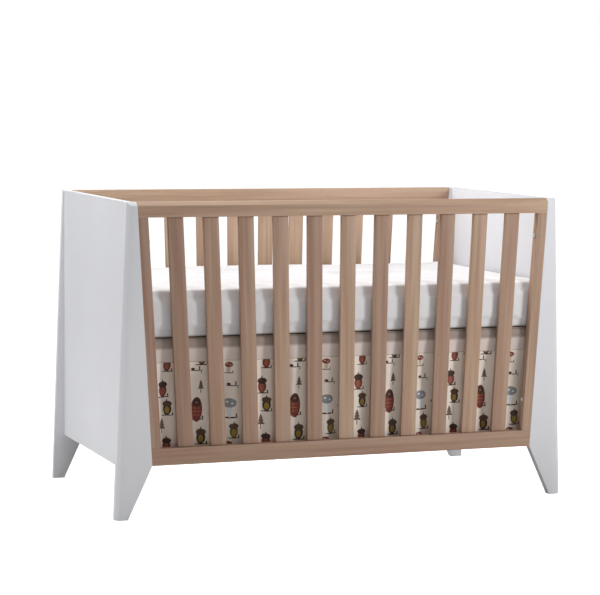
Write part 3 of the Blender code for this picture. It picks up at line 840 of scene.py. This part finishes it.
PRINT = [
    ((26, 38), twig()),
    ((26, 108), fir(44)),
    ((26, 186), acorn(RUST, RUST_LIGHT, BARK, 36)),
    ((70, 20), twig()),
    ((85, 62), acorn(BARK, MUSTARD, BARK_LIGHT, 50)),
    ((72, 138), cone(RUST, RUST_LIGHT, 84)),
    ((84, 208), fir(40)),
    ((128, 30), fir(42)),
    ((128, 96), acorn(OLIVE, MUSTARD, BARK, 36)),
    ((127, 168), toadstool(SLATE, SLATE_LIGHT, 40)),
    ((171, 26), toadstool(RUST, STEM, 36)),
    ((188, 74), acorn(OLIVE, MUSTARD, BARK_LIGHT, 48)),
    ((175, 142), toadstool(SLATE, SLATE_LIGHT, 62)),
    ((184, 206), twig()),
    ((230, 58), toadstool(RUST, STEM, 38)),
    ((230, 130), twig()),
    ((228, 200), cone(RUST, RUST_LIGHT, 52)),
    ((286, 42), acorn(RUST, RUST_LIGHT, BARK, 44)),
    ((271, 96), fir(48)),
    ((288, 150), acorn(BARK, MUSTARD, BARK_LIGHT, 46)),
    ((274, 206), acorn(RUST, RUST_LIGHT, BARK, 50)),
]
print("motifs:", len(PRINT), "shapes:", sum(len(shapes) for _, shapes in PRINT))

# %% The printed cotton: print, white band, seam and header, all in the cloth's coordinates
BAND_TOP = SKIRT_DROP - 0.027
SEAM = SKIRT_DROP - 0.068
HEM = 0.012
STITCH = 0.8 * MM
# The band's white is greyed a little: painted shade from the mattress.
BAND_WHITE_SHADED = "#dfd1c9"
# The header's brown grey is partly its own colour and partly painted shade from the mattress.
HEADER_WITH_PAINTED_SHADE = "#a3938a"
THREAD_COLOUR = "#b3a597"
PRINT_FUZZ = 2.2 * MM


def skirt_finish():
    material, tree, shader = start_finish("printed_cotton", Roughness=0.88)
    shader.inputs["Sheen Weight"].default_value = 0.2
    shader.inputs["Sheen Roughness"].default_value = 0.5
    flat = add(tree, "UVMap", {"uv_map": "cloth"}).outputs["UV"]
    tile = add(tree, "VectorMath", {"operation": "MODULO", 1: (*REPEAT, 1)}, {0: flat}).outputs[0]
    fuzz = add(tree, "TexNoise", {"Scale": 320.0, "Detail": 2.0}, {"Vector": flat})
    shaky = add(tree, "VectorMath", {"operation": "MULTIPLY_ADD", 1: (PRINT_FUZZ, PRINT_FUZZ, 0)},
                {0: fuzz.outputs["Color"], 2: tile}).outputs[0]
    colour = None
    for centre, shapes in PRINT:
        for shape, at, size, *rest in shapes:
            middle = ((centre[0] + at[0]) * MM, (centre[1] + at[1]) * MM)
            if shape == "ellipse":
                inside = ellipse(tree, shaky, middle, (size[0] * MM, size[1] * MM))
            else:
                inside = wedge(tree, shaky, middle, (centre[1] + size) * MM, rest[0] * MM)
            laid = add(tree, "MixRGB", {"Color1": paint(CREAM), "Color2": paint(rest[-1])}, {"Fac": inside})
            if colour is not None:
                tree.links.new(colour, laid.inputs["Color1"])
            colour = laid.outputs[0]
    height = add(tree, "SeparateXYZ", {}, {0: flat}).outputs["Y"]
    above_seam = add(tree, "Math", {"operation": "GREATER_THAN", 1: SEAM}, {0: height}).outputs[0]
    banded = add(tree, "MixRGB", {"Color2": paint(BAND_WHITE_SHADED)}, {"Fac": above_seam, "Color1": colour})
    # Painted shade under the mattress: the header colour fades in over a soft lower edge.
    mattress_shade_mask = add(tree, "MapRange", {"From Min": BAND_TOP - 5 * MM, "From Max": BAND_TOP + 3 * MM},
                     {"Value": height})
    headed = add(tree, "MixRGB", {"Color2": paint(HEADER_WITH_PAINTED_SHADE)},
                 {"Fac": mattress_shade_mask.outputs[0], "Color1": banded.outputs[0]})
    for row in (HEM, SEAM):
        stitched = add(tree, "Math", {"operation": "COMPARE", 1: row, 2: STITCH}, {0: height})
        headed = add(tree, "MixRGB", {"Color2": paint(THREAD_COLOUR)},
                     {"Fac": stitched.outputs[0], "Color1": headed.outputs[0]})
    tree.links.new(headed.outputs[0], shader.inputs["Base Color"])
    fine = add(tree, "Bump", {"Strength": 0.3, "Distance": 0.2 * MM}, {"Height": weave_height(tree, flat)})
    tree.links.new(fine.outputs[0], shader.inputs["Normal"])
    return material


SKIRT_COTTON = skirt_finish()
print("printed cotton:", len(SKIRT_COTTON.node_tree.nodes), "nodes")

# %% Dress the drops, and attach each one to the support
for side, drop in drops.items():
    wear(drop, SKIRT_COTTON)
    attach(drop, "mattress_support")
    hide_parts("skirt_drop_" + side)
    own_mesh(drop)

# %% The deck: a plain sheet that lies on the support
# The deck's brown grey, darker than the sheet, is painted shade for the dark gap seen under the mattress.
DECK_LIGHT, DECK_DARK = "#bba99b", "#b09e90"
DECK_COLUMNS, DECK_ROWS = 130, 70
DECK_THICKNESS = 0.6 * MM
deck_low, deck_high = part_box("skirt_deck")
bpy.ops.object.select_all(action="DESELECT")
bpy.ops.mesh.primitive_grid_add(x_subdivisions=DECK_COLUMNS, y_subdivisions=DECK_ROWS, size=1,
                                location=(0, 0, (deck_low.z + deck_high.z) / 2))
deck = bpy.context.object
deck.name = "skirt_deck_cloth"
deck.scale = (deck_high.x - deck_low.x, deck_high.y - deck_low.y, 1)
bpy.ops.object.transform_apply(location=True, rotation=True, scale=True)
places = points_of(deck)
places[:, 2] += 0.15 * MM * np.sin(places[:, 0] * 50) * np.cos(places[:, 1] * 40)
move_points(deck, places)
thick = deck.modifiers.new("cloth_thickness", "SOLIDIFY")
thick.thickness = DECK_THICKNESS
thick.offset = 0
apply_all(deck)
bpy.ops.object.shade_smooth()
DECK_COTTON = sheet_finish("deck_cotton_painted_shade", DECK_LIGHT, DECK_DARK)
wear(deck, DECK_COTTON)
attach(deck, "mattress_support")
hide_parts("skirt_deck")

# %% [markdown]
# ## Floor and light
# A white studio: soft lights overhead whiten everything level, a smaller key light from the right of
# the front gives the slats their soft shadows on the mattress, one at each end lights the end panels,
# and the rest are wide and weak. The world shows white behind, and adds a little light from all round.

# %% A pale floor
# The floor glows a little where the camera sees it, so that it runs into the white behind.
FLOOR_SIZE = 60
FLOOR_GLOW = 0.93
bpy.ops.object.select_all(action="DESELECT")
bpy.ops.mesh.primitive_plane_add(size=FLOOR_SIZE)
floor = bpy.context.object
floor.name = "studio_floor"
FLOOR_PAINT, tree, shader = start_finish("studio_floor_paint", Roughness=0.9)
shader.inputs["Base Color"].default_value = paint("#ececec")
glow = add(tree, "Emission", {"Color": (1, 1, 1, 1), "Strength": FLOOR_GLOW})
lit = add(tree, "AddShader", {}, {0: shader.outputs[0], 1: glow.outputs[0]})
ray = add(tree, "LightPath")
either = add(tree, "MixShader", {}, {0: ray.outputs["Is Camera Ray"], 1: shader.outputs[0],
                                     2: lit.outputs[0]})
tree.links.new(either.outputs[0], tree.nodes["Material Output"].inputs["Surface"])
floor.data.materials.append(FLOOR_PAINT)


# %% Nine softboxes: name, place, aim, size in metres and power in watts
SOFTBOXES = (
    ("overhead", (-0.5, 0.35, 2.9), (0, 0, 0.5), 1.0, 40),
    ("overhead_back", (0, 1.5, 2.8), (0, 0, 0.5), 1.8, 28),
    ("overhead_front", (0, -1.5, 3.0), (0, 0.36, 0.75), 1.2, 3),
    ("front_broad", (-1.0, -5.5, 2.6), (0, -0.3, 0.5), 3.0, 11),
    ("key", (1.9, -2.6, 1.7), (0.2, -0.3, 0.5), 0.7, 43),
    ("left_near", (-2.6, -0.45, 1.5), (-0.7, 0.1, 0.5), 0.8, 3),
    ("left_side", (-3.6, 0.1, 1.8), (-0.7, 0, 0.5), 1.2, 37),
    ("left_back", (-3.6, 2.6, 2.2), (-0.7, 0, 0.5), 1.6, 15),
    ("right_side", (3.8, 0.2, 1.8), (0.7, 0, 0.5), 1.6, 17),
)
for name, place, aim, size, power in SOFTBOXES:
    light = bpy.data.lights.new(name, "AREA")
    light.size = size
    light.energy = power
    lamp = bpy.data.objects.new(name, light)
    bpy.context.scene.collection.objects.link(lamp)
    lamp.location = place
    lamp.rotation_euler = (Vector(aim) - Vector(place)).to_track_quat("-Z", "Y").to_euler()
print("softboxes:", len(SOFTBOXES))

# %% A world that looks white and gives a little light
WORLD_STRENGTH = 0.2
world = bpy.data.worlds.new("white_studio")
bpy.context.scene.world = world
world.use_nodes = True
sky = world.node_tree
sky.nodes["Background"].inputs["Strength"].default_value = WORLD_STRENGTH
seen = add(sky, "Background", {"Color": (1, 1, 1, 1), "Strength": 1.0})
sky.nodes["Background"].inputs["Color"].default_value = (1, 1, 1, 1)
ray = add(sky, "LightPath")
mixed = add(sky, "MixShader", {}, {0: ray.outputs["Is Camera Ray"], 1: sky.nodes["Background"].outputs[0],
                                   2: seen.outputs[0]})
sky.links.new(mixed.outputs[0], sky.nodes["World Output"].inputs["Surface"])
bpy.context.scene.view_settings.view_transform = "Standard"
